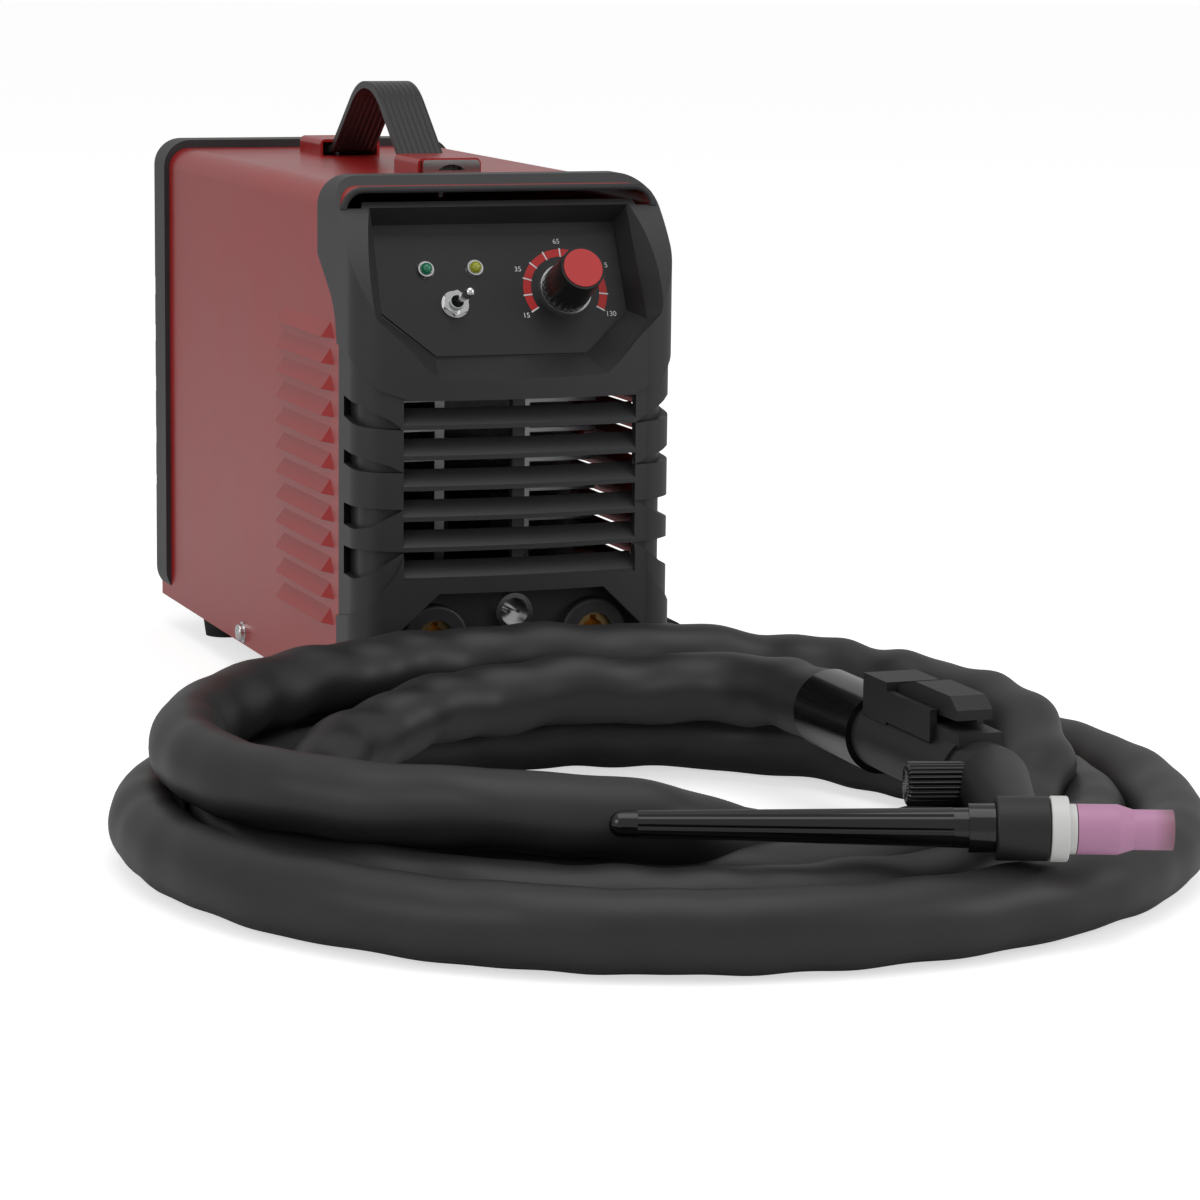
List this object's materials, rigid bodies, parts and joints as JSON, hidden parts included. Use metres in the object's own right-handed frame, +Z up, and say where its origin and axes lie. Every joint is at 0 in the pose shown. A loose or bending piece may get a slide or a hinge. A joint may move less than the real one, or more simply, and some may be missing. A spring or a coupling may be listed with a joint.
{
  "type": "tig welder",
  "caption": "Portable inverter TIG welder: louvred steel case with plastic ends, leaning control panel, grille and strap, with a valve torch on a coiled hose.",
  "frame": {"origin": "centre of the four feet, on the floor", "axes": "+Z up, -Y out of the control panel, +X to the right of someone facing the panel"},
  "size_m": [0.3906, 0.726, 0.2525],
  "materials": {
    "red_paint": "gloss",
    "black_satin": "satin",
    "steel": "satin",
    "rubber_black": "matte",
    "chrome": "polished",
    "label_black": "satin",
    "knob_black": "satin",
    "cap_red": "matte",
    "lamp_green": "gloss",
    "lamp_yellow": "gloss",
    "strap_black": "satin",
    "board_green": "satin",
    "aluminium": "satin",
    "ferrite": "matte",
    "copper_wire": "gloss",
    "brass": "satin",
    "device_black": "matte",
    "fan_black": "satin",
    "rocker_red": "gloss",
    "torch_black": "matte",
    "gloss_black": "gloss",
    "insulator_white": "satin",
    "ceramic_pink": "satin",
    "copper": "satin",
    "tungsten": "satin",
    "hose_black": "satin"
  },
  "bodies": {
    "machine": {"cover": "red_paint", "base_tray": "steel", "feet": "rubber_black", "foot_screws": "chrome", "cover_screws": "chrome", "front_moulding": "black_satin", "rear_moulding": "black_satin", "control_plate": "label_black", "knob_nut": "chrome", "potentiometer": "steel", "toggle_body": "steel", "toggle_nut": "chrome", "indicator_bezels": "chrome", "power_indicator": "lamp_green", "overheat_indicator": "lamp_yellow", "control_board": "board_green", "power_socket_bodies": "black_satin", "power_socket_contacts": "brass", "control_socket": "chrome", "busbars": "copper", "strap_handle": "strap_black", "strap_end_caps": "chrome", "strap_screws": "chrome", "main_board": "board_green", "board_standoffs": "brass", "heatsinks": "aluminium", "power_transistors": "device_black", "rectifiers": "device_black", "transformer_core": "ferrite", "transformer_windings": "copper_wire", "choke_core": "ferrite", "choke_windings": "copper_wire", "capacitors": "device_black", "fan_frame": "fan_black", "fan_guard": "chrome", "mains_switch_body": "black_satin", "mains_gland": "black_satin", "torch_handle": "torch_black", "handle_cuff": "gloss_black", "trigger_housing": "torch_black", "torch_head": "torch_black", "heat_shield": "insulator_white", "collet_body": "copper", "electrode": "tungsten", "hose_coil": "hose_black", "hose_tail": "hose_black", "plug_boot": "rubber_black", "plug_contact": "brass"},
    "current_dial": {"current_knob": "knob_black", "knob_cap": "cap_red", "knob_shaft": "aluminium"},
    "mode_lever": {"toggle_lever": "chrome"},
    "fan": {"fan_rotor": "fan_black"},
    "mains_rocker_body": {"mains_rocker": "rocker_red"},
    "trigger": {"trigger_lever": "torch_black"},
    "gas_valve": {"valve_knob": "gloss_black"},
    "back_cap_body": {"back_cap": "gloss_black"},
    "nozzle_body": {"nozzle": "ceramic_pink"}
  },
  "joints": [
    {"name": "current_dial_turn", "type": "hinge", "parent": "machine", "child": "current_dial", "pos_m": [0.0264, -0.1452, 0.17653], "axis": [0, -0.891, 0.454], "range_deg": [-139, 102.5]},
    {"name": "mode_lever_tip", "type": "hinge", "parent": "machine", "child": "mode_lever", "pos_m": [-0.0202, -0.14934, 0.17281], "axis": [0, 0.454, 0.891], "range_deg": [-22, 0]},
    {"name": "fan_spin", "type": "hinge", "parent": "machine", "child": "fan", "pos_m": [0, 0.132, 0.128], "axis": [0, 1, 0], "continuous": true},
    {"name": "mains_rocker_tip", "type": "hinge", "parent": "machine", "child": "mains_rocker_body", "pos_m": [-0.036, 0.143, 0.05], "axis": [1, 0, 0], "range_deg": [-20, 0]},
    {"name": "trigger_press", "type": "hinge", "parent": "machine", "child": "trigger", "pos_m": [0.065, -0.4035, 0.059], "axis": [1, 0, 0], "range_deg": [0, 4], "stiffness_Nm_per_rad": 0.5, "springref_deg": -11.46},
    {"name": "gas_valve_turn", "type": "hinge", "parent": "machine", "child": "gas_valve", "pos_m": [0.065, -0.4645, 0.04], "axis": [-0.9648, 0.2629, 0], "range_deg": [0, 360]},
    {"name": "back_cap_turn", "type": "hinge", "parent": "machine", "child": "back_cap_body", "pos_m": [0.046, -0.526, 0.039], "axis": [-0.9382, 0.3461, 0], "range_deg": [0, 360]},
    {"name": "nozzle_turn", "type": "hinge", "parent": "machine", "child": "nozzle_body", "pos_m": [0.046, -0.526, 0.039], "axis": [0.9382, -0.3461, 0], "range_deg": [0, 360]}
  ]
}
